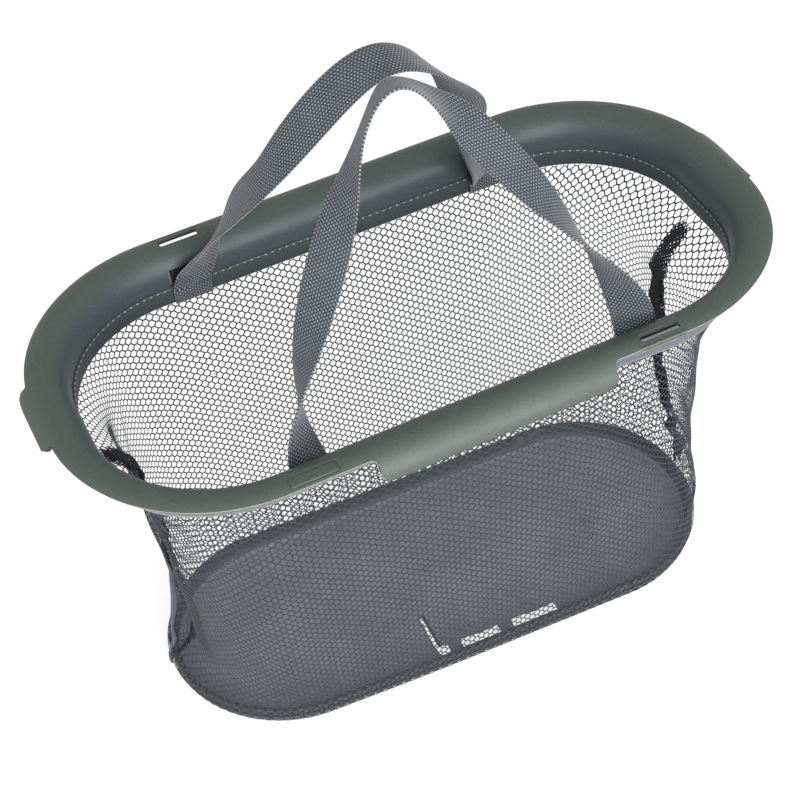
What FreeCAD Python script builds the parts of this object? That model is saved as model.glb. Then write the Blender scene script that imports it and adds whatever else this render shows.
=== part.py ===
import FreeCAD, Part
import math
import os

from FreeCAD import Vector

# Folding mesh basket with a moulded foam rim, two webbing handles and a shallow tray base.
# Millimetres. +Z is up, +X along the length, the rim flap faces -Y.
# The origin is the middle of the tray's underside.

# ---- overall sizes ----
rim_half_length = 225.0      # middle to the lip's outer edge, along X
rim_half_width = 119.0       # middle to the lip's outer edge, along Y
rim_height = 266.0           # ground to the top of the rim
lip_corner_radius = 103.0    # plan radius of the lip's outer edge

# ---- rim section ----
roll_radius = 16.0           # the rim's rolled-over top, outer face
lip_angle = 60.0             # the roll ends here; 90 is its crest and 0 points straight out
rim_wall_depth = 34.4        # crest to the wall's lower edge
foam_thickness = 2.2
backing_thickness = 0.8      # felt laminated to the hidden side of the foam

# ---- rim details ----
flap_half_length = 73.0
flap_angle = 5.0             # the front flap carries the roll round to here
flap_corner_radius = 8.0
tab_half_width = 23.0
tab_centre_y = 5.0           # both end tabs sit a little towards the back
tab_angle = 34.0             # the end tabs carry the roll round to here
tab_corner_radius = 5.0
slot_length = 26.0
slot_width = 6.0
slot_angle = 83.0            # place of the lip slots round the roll
recess_depth = 0.6
recess_margin = 3.0          # moulded border round each slot
badge_length = 30.0
badge_start_angle = 66.0
badge_end_angle = 98.0
badge_centre_x = -107.0
fit_gap = 0.3

# ---- band that holds the mesh to the rim ----
band_height = 12.0
band_thickness = 1.2
thread_thickness = 0.5
thread_below_band_top = 1.2

# ---- handle webbing ----
strap_width = 25.0
strap_thickness = 1.5
strap_spacing = 204.0        # between the two ends of one handle
window_height = 12.0         # opening in the rim wall that a strap end goes through
window_clearance = 1.0       # on each side of the strap
handle_lean = 27.0           # degrees from upright, towards the middle
pivot_above_rim = 4.0        # the webbing swings about this level
pivot_relief = 1.45          # from the swing axis to the start of the handle

# ---- tray ----
tray_half_length = 187.5
tray_half_width = 80.0
tray_height = 14.0
tray_foot_radius = 8.0
drain_slot_width = 5.0
drain_front_gap = 11.5       # tray edge to the line of drain slots

# ---- mesh body ----
net_thickness = 0.8
net_bulge = 0.4              # the mesh stands this far off the tray's wall
net_waist = 2.0              # the mesh hangs in by this much half way up
tape_width = 14.0
tape_thickness = 1.0
hem_strip_start = 8.0        # the smooth strip beside the left seam begins here, along Y
hem_strip_width = 6.0
hem_strip_top = 100.0
hem_strip_thickness = 1.5

lip_reach = roll_radius * (1 + math.cos(math.radians(lip_angle)))
wall_half_length = rim_half_length - lip_reach
wall_half_width = rim_half_width - lip_reach
wall_corner_radius = lip_corner_radius - lip_reach
wall_bottom = rim_height - rim_wall_depth
roll_centre_z = rim_height - roll_radius
rim_thickness = foam_thickness + backing_thickness
window_bottom = wall_bottom + band_height
net_top = wall_bottom - fit_gap
tray_corner_radius = tray_half_width - 1.0


def v(x, y, z):
    return Vector(x, y, z)


def box(x0, x1, y0, y1, z0, z1):
    return Part.makeBox(x1 - x0, y1 - y0, z1 - z0, v(x0, y0, z0))


def outline(half_length, half_width, radius, z):
    """Closed rounded rectangle in plan, at height z."""
    cx, cy = half_length - radius, half_width - radius
    diagonal = radius * math.sqrt(0.5)
    edges = []
    centres = [(cx, cy), (-cx, cy), (-cx, -cy), (cx, -cy)]
    for k, (x, y) in enumerate(centres):
        a = math.radians(90 * k)
        start = v(x + radius * math.cos(a), y + radius * math.sin(a), z)
        middle_angle = a + math.pi / 4
        middle = v(x + radius * math.cos(middle_angle), y + radius * math.sin(middle_angle), z)
        end = v(x - radius * math.sin(a), y + radius * math.cos(a), z)
        edges.append(Part.Arc(start, middle, end).toShape())
        nx, ny = centres[(k + 1) % 4]
        following = end + v(nx - x, ny - y, 0)
        if end.distanceToPoint(following) > 1e-6:
            edges.append(Part.makeLine(end, following))
    return Part.Wire(edges)


def plate(half_length, half_width, radius, z0, z1):
    return Part.Face(outline(half_length, half_width, radius, z0)).extrude(v(0, 0, z1 - z0))


def section_face(points):
    """Face in the XZ plane from corners; a corner triple (start, middle, end) is an arc."""
    edges, last = [], None
    for item in points:
        if isinstance(item, tuple) and isinstance(item[0], tuple):
            start, middle, end = [v(x, 0, z) for x, z in item]
            if last is not None and last.distanceToPoint(start) > 1e-7:
                edges.append(Part.makeLine(last, start))
            edges.append(Part.Arc(start, middle, end).toShape())
            last = end
        else:
            here = v(item[0], 0, item[1])
            if last is not None:
                edges.append(Part.makeLine(last, here))
            last = here
    first = edges[0].Vertexes[0].Point
    if last.distanceToPoint(first) > 1e-7:
        edges.append(Part.makeLine(last, first))
    return Part.Face(Part.Wire(edges))


def sweep_round(section, half_length, half_width, radius):
    """Carry a section round a rounded rectangle; section x is the distance outside it."""
    section = section.copy()
    section.translate(v(radius, 0, 0))
    cx, cy = half_length - radius, half_width - radius
    centres = [v(cx, cy, 0), v(-cx, cy, 0), v(-cx, -cy, 0), v(cx, -cy, 0)]
    pieces = []
    for k, centre in enumerate(centres):
        corner = section.copy()
        corner.rotate(v(0, 0, 0), v(0, 0, 1), 90 * k)
        corner = corner.revolve(v(0, 0, 0), v(0, 0, 1), 90)
        corner.translate(centre)
        pieces.append(corner)
        run = centres[(k + 1) % 4] - centre
        if run.Length > 1e-6:
            side = section.copy()
            side.rotate(v(0, 0, 0), v(0, 0, 1), 90 * (k + 1))
            side.translate(centre)
            pieces.append(side.extrude(run))
    return pieces[0].multiFuse(pieces[1:]).removeSplitter()


def on_roll(radius, angle):
    """Point (outward offset, z) at an angle round the rim's roll."""
    a = math.radians(angle)
    return roll_radius + radius * math.cos(a), roll_centre_z + radius * math.sin(a)


def roll_arc(radius, start_angle, end_angle):
    return tuple(on_roll(radius, a) for a in (start_angle, (start_angle + end_angle) / 2, end_angle))


def hook_section(outer_depth, inner_depth, end_angle):
    """Layer of the rim wall and roll, between two depths below the visible face."""
    outer, inner = roll_radius - outer_depth, roll_radius - inner_depth
    return section_face([
        (outer_depth, wall_bottom),
        roll_arc(outer, 180, end_angle),
        roll_arc(inner, end_angle, 180),
        (inner_depth, wall_bottom),
    ])


def roll_layer(outer_depth, inner_depth, start_angle, end_angle, length):
    """Curved plate that is part of the roll, extruded by length along +Y from y = 0."""
    outer, inner = roll_radius - outer_depth, roll_radius - inner_depth
    face = section_face([
        roll_arc(outer, start_angle, end_angle),
        roll_arc(inner, end_angle, start_angle),
    ])
    return face.extrude(v(0, length, 0))


def place_on_side(shape, side, centre_x, length):
    """Turn a roll piece to the front (-1) or back (+1) side, centred on centre_x."""
    shape = shape.copy()
    shape.translate(v(wall_half_width, -length / 2, 0))
    shape.rotate(v(0, 0, 0), v(0, 0, 1), 90 * side)
    shape.translate(v(centre_x, 0, 0))
    return shape


def place_on_end(shape, end, length):
    shape = shape.copy()
    shape.translate(v(wall_half_length, -length / 2, 0))
    if end < 0:
        shape.rotate(v(0, 0, 0), v(0, 0, 1), 180)
    return shape


def flap_layer(outer_depth, inner_depth):
    """The front flap: the roll carried on down, with its lower corners rounded."""
    length = 2 * flap_half_length
    curved = place_on_side(
        roll_layer(outer_depth, inner_depth, lip_angle + 1, flap_angle, length), -1, 0, length)
    low = on_roll(roll_radius - inner_depth, flap_angle)[1] - 1.0
    trim = Part.makeBox(length, 4 * roll_radius, rim_height - low, v(-length / 2, 0, low))
    upright = [e for e in trim.Edges if e.BoundBox.YLength > 3 * roll_radius
               and e.BoundBox.ZMax < low + 0.1]
    trim = trim.makeFillet(flap_corner_radius + 1.0, upright)
    trim.translate(v(0, -wall_half_width - 4 * roll_radius + 1, 0))
    return curved.common(trim)


def tab_layer(outer_depth, inner_depth, end):
    length = 2 * tab_half_width
    curved = place_on_end(
        roll_layer(outer_depth, inner_depth, lip_angle + 4, tab_angle, length), end, length)
    reach = wall_half_length + on_roll(roll_radius, tab_angle)[0]
    trim = Part.makeBox(reach, length, roll_radius * 2, v(0, -length / 2, rim_height - roll_radius * 2))
    upright = [e for e in trim.Edges if e.BoundBox.ZLength > roll_radius
               and e.BoundBox.XMin > 1]
    trim = trim.makeFillet(tab_corner_radius, upright)
    if end < 0:
        trim.rotate(v(0, 0, 0), v(0, 0, 1), 180)
    tab = curved.common(trim)
    tab.translate(v(0, tab_centre_y, 0))
    return tab


def slot_cutter(side, centre_x):
    """Round-ended slot straight down through the lip."""
    y = side * (wall_half_width + on_roll(roll_radius, slot_angle)[0])
    wire = outline(slot_length / 2, slot_width / 2, slot_width / 2 - 0.01, rim_height - roll_radius)
    cutter = Part.Face(wire).extrude(v(0, 0, 2 * roll_radius))
    cutter.translate(v(centre_x, y, 0))
    return cutter


def recess_cutter(side, centre_x, start_angle, end_angle, length):
    return place_on_side(
        roll_layer(-1.0, recess_depth, start_angle, end_angle, length), side, centre_x, length)


def window_cutter(side, centre_x):
    half = strap_width / 2 + window_clearance
    y0 = wall_half_width - band_thickness - 1.0
    y1 = wall_half_width + roll_radius
    low, high = sorted((side * y0, side * y1))
    return box(centre_x - half, centre_x + half, low, high,
               window_bottom, window_bottom + window_height)


strap_places = [(side, end) for side in (-1, 1) for end in (-1, 1)]
side_names = {-1: "front", 1: "back"}
end_names = {-1: "left", 1: "right"}
slot_places = [(-1, 1), (1, -1)]      # front right and back left


def rim_openings():
    cutters = [window_cutter(side, end * strap_spacing / 2) for side, end in strap_places]
    cutters += [slot_cutter(side, end * strap_spacing / 2) for side, end in slot_places]
    return cutters


def rim_layer(outer_depth, inner_depth):
    ring = sweep_round(hook_section(outer_depth, inner_depth, lip_angle),
                       wall_half_length, wall_half_width, wall_corner_radius)
    extras = [flap_layer(outer_depth, inner_depth)]
    extras += [tab_layer(outer_depth, inner_depth, end) for end in (-1, 1)]
    return ring.multiFuse(extras).removeSplitter()


def make_rim():
    rim = rim_layer(0, foam_thickness)
    spread = math.degrees((slot_width / 2 + recess_margin) / roll_radius)
    cutters = rim_openings()
    for side, end in slot_places:
        cutters.append(recess_cutter(side, end * strap_spacing / 2, slot_angle - spread,
                                     slot_angle + spread, slot_length + 2 * recess_margin))
    cutters.append(recess_cutter(-1, badge_centre_x, badge_start_angle, badge_end_angle,
                                 badge_length))
    return rim.cut(cutters)


def make_rim_backing():
    foam = rim_layer(0, foam_thickness)
    return rim_layer(foam_thickness, rim_thickness).cut(rim_openings() + [foam])


def make_badge():
    """Bare inlay in its moulded recess, a hair lower than the rim's face."""
    margin = math.degrees(fit_gap / roll_radius)
    length = badge_length - 2 * fit_gap
    return place_on_side(
        roll_layer(fit_gap / 2, recess_depth, badge_start_angle + margin,
                   badge_end_angle - margin, length), -1, badge_centre_x, length)


def make_band():
    return sweep_round(
        section_face([(0, wall_bottom), (-band_thickness, wall_bottom),
                      (-band_thickness, window_bottom), (0, window_bottom)]),
        wall_half_length, wall_half_width, wall_corner_radius)


def make_rim_thread():
    """Seam thread on the band, gone under each strap end."""
    z = window_bottom - thread_below_band_top
    face = -band_thickness
    ring = sweep_round(
        section_face([(face, z), (face - thread_thickness, z),
                      (face - thread_thickness, z + thread_thickness), (face, z + thread_thickness)]),
        wall_half_length, wall_half_width, wall_corner_radius)
    half = strap_width / 2 + window_clearance
    for side, end in strap_places:
        x, y = end * strap_spacing / 2, side * wall_half_width
        ring = ring.cut(box(x - half, x + half, y - 5, y + 5, z - 1, z + 2))
    return ring


# The strap end is a closed loop of webbing round the band and the wall strip below its window,
# with a short tongue that rises from it to the swing axis.
loop_inner_face = band_thickness + fit_gap             # inward of the wall's face
crease_y = wall_half_width - loop_inner_face - strap_thickness / 2
crease_z = window_bottom + fit_gap + strap_thickness / 2
pivot_z = rim_height + pivot_above_rim
pivot_y = crease_y - (pivot_z - crease_z) * math.tan(math.radians(handle_lean))


def rounded_box_yz(y0, y1, z0, z1, radius, x0, x1):
    body = box(x0, x1, y0, y1, z0, z1)
    along = [e for e in body.Edges if e.BoundBox.XLength > (x1 - x0) * 0.9]
    return body.makeFillet(radius, along)


def make_strap_end(side, end):
    x0 = end * strap_spacing / 2 - strap_width / 2
    x1 = x0 + strap_width
    inner_low = wall_half_width - loop_inner_face
    inner_high = wall_half_width + rim_thickness + fit_gap
    low, high = wall_bottom - fit_gap, window_bottom + fit_gap
    t = strap_thickness
    loop = rounded_box_yz(inner_low - t, inner_high + t, low - t, high + t, t + 0.2, x0, x1)
    loop = loop.cut(rounded_box_yz(inner_low, inner_high, low, high, 0.2, x0, x1))
    rise = v(0, pivot_y - crease_y, pivot_z - crease_z)
    across = v(0, rise.z, -rise.y).normalize() * (t / 2)
    foot, top = v(x0, crease_y, crease_z), v(x0, pivot_y, pivot_z)
    round_end = Part.Arc(top + across, top + rise.normalize() * (t / 2), top - across).toShape()
    face = Part.Face(Part.Wire([
        Part.makeLine(foot + across, top + across), round_end,
        Part.makeLine(top - across, foot - across), Part.makeLine(foot - across, foot + across)]))
    solid = loop.fuse(face.extrude(v(strap_width, 0, 0))).removeSplitter()
    if side < 0:
        solid = solid.mirror(v(0, 0, 0), v(0, 1, 0))
    return solid


# Route of each handle between its two swing points: share of the half span, share of the way
# from the swing axis to the middle plane, share of the handle's height, and the webbing's twist.
handle_height = 140.0        # swing axis to the top of the front handle
front_route = [
    (-0.86, 0.19, 0.16, 85), (-0.52, 0.51, 0.54, 118), (-0.25, 0.75, 0.83, 69),
    (0.04, 0.87, 1.00, 71), (0.30, 0.80, 0.85, 113), (0.52, 0.63, 0.63, 155),
    (0.90, 0.22, 0.17, 86),
]
back_route = [
    (-0.75, 0.10, 0.22, 70), (-0.59, 0.43, 0.48, 93), (-0.25, 0.57, 0.76, 122),
    (0.13, 0.65, 0.92, 107), (0.46, 0.55, 0.77, 85), (0.70, 0.36, 0.47, 45),
    (0.86, 0.14, 0.12, 5),
]


def handle_stations(side, route):
    """Points of the webbing's middle line with the twist at each, from left to right."""
    lean = math.radians(handle_lean)
    out_y = pivot_y - pivot_relief * math.sin(lean)
    out_z = pivot_z + pivot_relief * math.cos(lean)
    half = strap_spacing / 2
    ends = [(v(-half, side * out_y, out_z), 0), (v(half, side * out_y, out_z), 0)]
    middle = [(v(x * half, side * out_y * (1 - inward), out_z + height * handle_height), twist)
              for x, inward, height, twist in route]
    return [ends[0]] + middle + [ends[1]]


def make_handle(side, route, spans=30):
    stations = handle_stations(side, route)
    lengths = [0.0]
    for (a, _), (b, _) in zip(stations, stations[1:]):
        lengths.append(lengths[-1] + a.distanceToPoint(b))
    path, twist = Part.BSplineCurve(), Part.BSplineCurve()
    path.interpolate(Points=[p for p, _ in stations], Parameters=lengths)
    twist.interpolate(Points=[v(t, s, 0) for (_, t), s in zip(stations, lengths)],
                      Parameters=lengths)
    sections = []
    for k in range(spans + 1):
        s = lengths[-1] * k / spans
        centre, along = path.value(s), path.tangent(s)[0]
        if k in (0, spans):
            lean = math.radians(handle_lean)
            rising = 1 if k == 0 else -1
            along = v(0, -side * math.sin(lean), math.cos(lean)) * rising
        upright = (v(0, 1, 0) - along * along.y).normalize()
        flat = upright.cross(along)
        angle = math.radians(twist.value(s).x)
        wide = flat * math.cos(angle) + upright * math.sin(angle)
        thick = along.cross(wide) * (strap_thickness / 2)
        wide = wide * (strap_width / 2)
        corners = [centre + wide + thick, centre - wide + thick,
                   centre - wide - thick, centre + wide - thick]
        sections.append(Part.makePolygon(corners + corners[:1]))
    return Part.makeLoft(sections, True, True)


def pan(inset, floor, foot_radius):
    """Solid block of the tray's plan, with its lower edge rounded."""
    block = plate(tray_half_length - inset, tray_half_width - inset, tray_corner_radius - inset,
                  floor, tray_height)
    lower = [e for e in block.Edges if e.BoundBox.ZMax < floor + 0.01]
    return block.makeFillet(foot_radius, lower)


def drain_slots():
    """Straight drain slots and an L-shaped one, in a line near the tray's front edge."""
    y = -(tray_half_width - drain_front_gap)
    w = drain_slot_width
    bottom, top = -1.0, tray_height
    slots = [box(x0, x1, y - w / 2, y + w / 2, bottom, top) for x0, x1 in ((-10, 18), (27, 60))]
    bend = 5.5                # middle-line radius of the L's corner
    foot_x, leg_x, leg_top = -18.5, -25.5, y + 36.0
    outer = Part.makeCylinder(bend + w / 2, top - bottom, v(leg_x + bend, y + bend, bottom),
                              v(0, 0, 1), 90)
    inner = Part.makeCylinder(bend - w / 2, top - bottom, v(leg_x + bend, y + bend, bottom),
                              v(0, 0, 1), 90)
    corner = outer.cut(inner)
    corner.rotate(v(leg_x + bend, y + bend, 0), v(0, 0, 1), 180)
    leg = box(leg_x - w / 2, leg_x + w / 2, y + bend, leg_top, bottom, top)
    foot = box(leg_x + bend, foot_x, y - w / 2, y + w / 2, bottom, top)
    return slots + [corner.multiFuse([leg, foot]).removeSplitter()]


def make_tray():
    tray = pan(0, 0, tray_foot_radius)
    hollow = pan(foam_thickness, foam_thickness, tray_foot_radius - foam_thickness)
    return tray.cut(hollow).cut(drain_slots())


def make_tray_lining():
    layer = pan(foam_thickness, foam_thickness, tray_foot_radius - foam_thickness)
    hollow = pan(rim_thickness, rim_thickness, tray_foot_radius - rim_thickness)
    return layer.cut(hollow).cut(drain_slots())


def net_body(outset, z0, z1):
    """Solid of the mesh body's shape, grown sideways by outset, between two heights."""
    low = tray_half_width + net_bulge
    rows = [
        (z0, tray_half_length + net_bulge, low, tray_corner_radius + net_bulge),
        (tray_height, tray_half_length + net_bulge, low, tray_corner_radius + net_bulge),
        ((tray_height + net_top) / 2,
         (tray_half_length + wall_half_length + net_bulge + rim_thickness / 2) / 2 - net_waist,
         (low + wall_half_width + rim_thickness / 2) / 2 - net_waist,
         (tray_corner_radius + wall_corner_radius) / 2),
        (z1, wall_half_length + rim_thickness / 2, wall_half_width + rim_thickness / 2,
         wall_corner_radius + rim_thickness / 2),
    ]
    wires = [outline(a + outset, b + outset, r + outset, z) for z, a, b, r in rows]
    lower = Part.makeLoft(wires[:2], True, True)
    upper = Part.makeLoft(wires[1:], True, False)
    return lower.fuse(upper).removeSplitter()


def make_net_panels():
    foot = 1.0
    shell = net_body(net_thickness, foot, net_top).cut(net_body(0, foot, net_top))
    reach = 2 * rim_half_length
    notch = strap_width / 2 + window_clearance
    for side, end in strap_places:
        x, y = end * strap_spacing / 2, side * wall_half_width
        deep = net_top - strap_thickness - 2 * fit_gap
        shell = shell.cut(box(x - notch, x + notch, y - 12, y + 12, deep, net_top + 1))
    half_gap = fit_gap / 2
    front = shell.common(box(-reach, reach, -reach, -half_gap, -1, rim_height))
    back = shell.common(box(-reach, reach, half_gap, reach, -1, rim_height))
    return front, back


def make_seam_tapes(end):
    """Binding down the end seam: a strip inside the mesh and a strip outside it."""
    low = tray_height + 2.0
    gap = fit_gap
    inner = net_body(-gap, 1, net_top).cut(net_body(-gap - tape_thickness, 1, net_top))
    outer = net_body(net_thickness + gap + tape_thickness, 1, net_top).cut(
        net_body(net_thickness + gap, 1, net_top))
    half = tape_width / 2
    x0, x1 = sorted((end * (tray_half_length / 2), end * 2 * rim_half_length))
    keep = box(x0, x1, -half, half, low, net_top - 1.0)
    return inner.common(keep), outer.common(keep)


def make_hem_strip():
    """Smooth foam strip on the outside of the mesh, beside the seam at the left end."""
    inset = net_thickness + fit_gap
    outer = net_body(inset + hem_strip_thickness, 1, net_top).cut(net_body(inset, 1, net_top))
    keep = box(-2 * rim_half_length, -tray_half_length / 2, hem_strip_start,
               hem_strip_start + hem_strip_width, tray_height + 2.0, hem_strip_top)
    return outer.common(keep)


def make_tray_thread():
    """Seam thread that holds the mesh to the tray's wall."""
    z = tray_height - 4.0
    face = net_bulge + net_thickness
    return sweep_round(
        section_face([(face, z), (face + thread_thickness, z),
                      (face + thread_thickness, z + thread_thickness), (face, z + thread_thickness)]),
        tray_half_length, tray_half_width, tray_corner_radius)


def save(name, shape):
    solids = shape.Solids
    bad = [s for s in solids if not s.isValid()]
    print(name, "solids", len(solids), "invalid", len(bad), "volume", round(shape.Volume, 1))
    out = solids[0] if len(solids) == 1 else Part.makeCompound(solids)
    out.exportStep(os.path.join("parts", name + ".step"))


def main():
    os.makedirs("parts", exist_ok=True)
    save("rim", make_rim())
    save("rim_backing", make_rim_backing())
    save("blank_badge", make_badge())
    save("mesh_retaining_band", make_band())
    save("rim_seam_thread", make_rim_thread())
    for side, end in strap_places:
        save(side_names[side] + "_" + end_names[end] + "_strap_end", make_strap_end(side, end))
    save("front_handle_strap", make_handle(-1, front_route))
    save("back_handle_strap", make_handle(1, back_route))
    front, back = make_net_panels()
    save("front_mesh_panel", front)
    save("back_mesh_panel", back)
    for end in (-1, 1):
        inner, outer = make_seam_tapes(end)
        save(end_names[end] + "_inner_seam_tape", inner)
        save(end_names[end] + "_outer_seam_tape", outer)
    save("left_hem_strip", make_hem_strip())
    save("base_tray", make_tray())
    save("base_lining", make_tray_lining())
    save("base_seam_thread", make_tray_thread())


main()
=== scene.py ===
import math

import bmesh
import bpy
import numpy as np
from mathutils import Matrix, Vector


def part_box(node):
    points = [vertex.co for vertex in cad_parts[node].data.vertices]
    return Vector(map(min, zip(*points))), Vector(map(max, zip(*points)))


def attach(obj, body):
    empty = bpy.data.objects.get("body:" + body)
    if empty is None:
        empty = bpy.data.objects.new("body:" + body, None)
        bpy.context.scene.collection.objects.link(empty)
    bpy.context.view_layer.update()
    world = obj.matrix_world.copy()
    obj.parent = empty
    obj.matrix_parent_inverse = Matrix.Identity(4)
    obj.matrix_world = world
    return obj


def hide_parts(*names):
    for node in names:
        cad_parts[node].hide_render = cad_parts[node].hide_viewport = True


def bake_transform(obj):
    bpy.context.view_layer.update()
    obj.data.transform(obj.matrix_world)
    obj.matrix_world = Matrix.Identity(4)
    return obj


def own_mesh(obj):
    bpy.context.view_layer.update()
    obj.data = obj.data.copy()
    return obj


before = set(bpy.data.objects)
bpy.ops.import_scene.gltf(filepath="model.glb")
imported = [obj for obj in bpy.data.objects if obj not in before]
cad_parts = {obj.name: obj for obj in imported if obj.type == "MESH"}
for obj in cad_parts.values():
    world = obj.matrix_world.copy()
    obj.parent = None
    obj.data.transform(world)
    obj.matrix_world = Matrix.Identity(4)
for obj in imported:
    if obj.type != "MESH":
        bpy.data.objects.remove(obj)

for leftover in ("Cube", "Light", "Camera"):
    if leftover in bpy.data.objects:
        bpy.data.objects.remove(bpy.data.objects[leftover])
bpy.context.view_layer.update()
scene = bpy.context.scene
mm = 0.001

# sizes that the pieces share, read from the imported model
bandLow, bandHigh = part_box("mesh_retaining_band")
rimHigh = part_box("rim")[1]
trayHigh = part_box("base_tray")[1]
strapLow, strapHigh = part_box("front_right_strap_end")
wall = dict(halfLength=bandHigh.x, halfWidth=bandHigh.y, radius=79 * mm)
wallBottom, bandTop, crest = bandLow.z, bandHigh.z, rimHigh.z
roll = dict(radius=16 * mm, foam=2.2 * mm, felt=0.8 * mm)
rollCentre = crest - roll["radius"]
strapX = (strapLow.x + strapHigh.x) / 2
strapWidth = strapHigh.x - strapLow.x


def ringPoint(along, halfLength, halfWidth, radius):
    # rounded rectangle, measured anticlockwise from the middle of its right end: the distance is
    # folded into one quarter, which is end straight, quarter circle, side straight
    quarter = halfLength + halfWidth - 2 * radius + math.pi / 2 * radius
    lap = np.mod(along / quarter, 4)
    run = quarter * (1 - np.abs(np.mod(lap, 2) - 1))
    angle = np.clip((run - halfWidth + radius) / radius, 0, math.pi / 2)
    x = halfLength - radius + radius * np.cos(angle)
    x = x - np.maximum(run - (halfWidth - radius) - math.pi / 2 * radius, 0)
    y = np.minimum(run, halfWidth - radius) + radius * np.sin(angle)
    signX = np.where((lap > 1) & (lap < 3), -1.0, 1.0)
    signY = np.where(lap > 2, -1.0, 1.0)
    return x * signX, y * signY, np.cos(angle) * signX, np.sin(angle) * signY


def quarterOf(halfLength, halfWidth, radius):
    return halfLength + halfWidth - 2 * radius + math.pi / 2 * radius


wallQuarter = quarterOf(**wall)


def alongAtX(x, side):
    # distance round the rim wall of a point on the front (-1) or back (+1) straight
    return wallQuarter - x if side > 0 else 3 * wallQuarter + x


def smooth(x, low, high):
    t = np.clip((x - low) / (high - low), 0, 1)
    return t * t * (3 - 2 * t)


def splineThrough(values, at):
    # natural cubic through evenly numbered values; at runs from 0 to 1
    values = np.asarray(values, float)
    count = len(values)
    matrix = np.eye(count)
    right = np.zeros_like(values)
    for k in range(1, count - 1):
        matrix[k, k - 1:k + 2] = 1, 4, 1
        right[k] = 6 * (values[k - 1] - 2 * values[k] + values[k + 1])
    bend = np.linalg.solve(matrix, right)
    place = np.clip(at, 0, 1) * (count - 1)
    k = np.minimum(place.astype(int), count - 2)
    t = (place - k)[:, None]
    return ((1 - t) * values[k] + t * values[k + 1]
            + ((1 - t) ** 3 - (1 - t)) / 6 * bend[k] + (t ** 3 - t) / 6 * bend[k + 1])


def unit(vectors):
    return vectors / np.linalg.norm(vectors, axis=-1, keepdims=True)


def newPiece(name, points, quads, uv=None, caps=(), material=None):
    # mesh from arrays: points (n, 3), quads (m, 4), uv one pair for each corner of each quad
    mesh = bpy.data.meshes.new(name)
    mesh.vertices.add(len(points))
    mesh.vertices.foreach_set("co", np.ascontiguousarray(points, np.float32).ravel())
    corners = np.concatenate([np.asarray(quads).ravel(), *[np.asarray(c) for c in caps]])
    sizes = np.concatenate([np.full(len(quads), quads.shape[1]), [len(c) for c in caps]])
    mesh.loops.add(len(corners))
    mesh.loops.foreach_set("vertex_index", corners.astype(np.int32))
    mesh.polygons.add(len(sizes))
    starts = np.concatenate([[0], np.cumsum(sizes)[:-1]])
    mesh.polygons.foreach_set("loop_start", starts.astype(np.int32))
    mesh.polygons.foreach_set("loop_total", sizes.astype(np.int32))
    mesh.update(calc_edges=True)
    mesh.polygons.foreach_set("use_smooth", np.ones(len(sizes), bool))
    if uv is not None:
        layer = mesh.uv_layers.new(name="surface")
        pairs = np.zeros((len(corners), 2), np.float32)
        flat = np.asarray(uv, np.float32).reshape(-1, 2)
        pairs[:len(flat)] = flat
        layer.data.foreach_set("uv", pairs.ravel())
    mesh.validate()
    piece = bpy.data.objects.new(name, mesh)
    scene.collection.objects.link(piece)
    if material:
        mesh.materials.append(material)
    return piece


def gridQuads(rows, columns, closedRows=False, closedColumns=False):
    # corner indices of a grid's quads, and the (row, column) numbers of each corner for its uv
    r = np.arange(rows if closedRows else rows - 1)
    c = np.arange(columns if closedColumns else columns - 1)
    r, c = [a.ravel() for a in np.meshgrid(r, c, indexing="ij")]
    rowsOf = np.stack([r, r + 1, r + 1, r], -1)
    columnsOf = np.stack([c, c, c + 1, c + 1], -1)
    quads = np.mod(rowsOf, rows) * columns + np.mod(columnsOf, columns)
    return quads, rowsOf, columnsOf


def gridPiece(name, points, rowMarks, columnMarks, closedRows=False, closedColumns=False,
              keep=None, flip=False, caps=False, material=None):
    # surface on a grid of points (rows, columns, 3); the marks are the uv values of rows and of
    # columns, the latter one for each column or one for each grid point
    rows, columns = points.shape[:2]
    quads, rowsOf, columnsOf = gridQuads(rows, columns, closedRows, closedColumns)
    columnMarks = np.asarray(columnMarks)
    across = columnMarks[columnsOf] if columnMarks.ndim == 1 else columnMarks[rowsOf, columnsOf]
    uv = np.stack([np.asarray(rowMarks)[rowsOf], across], -1)
    if keep is not None:
        quads, uv = quads[keep.ravel()], uv[keep.ravel()]
    ends = [np.arange(columns)[::-1], (rows - 1) * columns + np.arange(columns)] if caps else []
    if flip:
        quads, uv = quads[:, ::-1], uv[:, ::-1]
        ends = [e[::-1] for e in ends]
    return newPiece(name, points.reshape(-1, 3), quads, uv, ends, material)


def thicken(piece, thickness, offset=-1.0):
    # a wall behind the faces, or with offset 0 half of it on either side of them
    solid = piece.modifiers.new("thickness", "SOLIDIFY")
    solid.thickness = thickness
    solid.offset = offset
    return solid


print("materials")


def hexColour(text):
    # sRGB hex to linear rgba
    value = np.array([int(text[k:k + 2], 16) / 255 for k in (1, 3, 5)])
    value = np.where(value <= 0.04045, value / 12.92, ((value + 0.055) / 1.055) ** 2.4)
    return (*[float(v) for v in value], 1.0)


def setInputs(tree, node, inputs):
    # an input is a plain value, a hex text for a colour, an output socket, or a node, which
    # stands for its first output in use
    for socket, value in inputs.items():
        if isinstance(value, bpy.types.Node):
            value = next(out for out in value.outputs if out.enabled)
        if isinstance(value, bpy.types.NodeSocket):
            tree.links.new(value, node.inputs[socket])
        else:
            plain = hexColour(value) if isinstance(value, str) else value
            node.inputs[socket].default_value = plain


def addNode(tree, kind, *inputs, **settings):
    # one node with its settings and its inputs, which are given in order or as a dictionary
    node = tree.nodes.new("ShaderNode" + kind)
    for key, value in settings.items():
        setattr(node, key, value)
    byName = inputs and isinstance(inputs[0], dict)
    setInputs(tree, node, inputs[0] if byName else dict(enumerate(inputs)))
    return node


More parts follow.
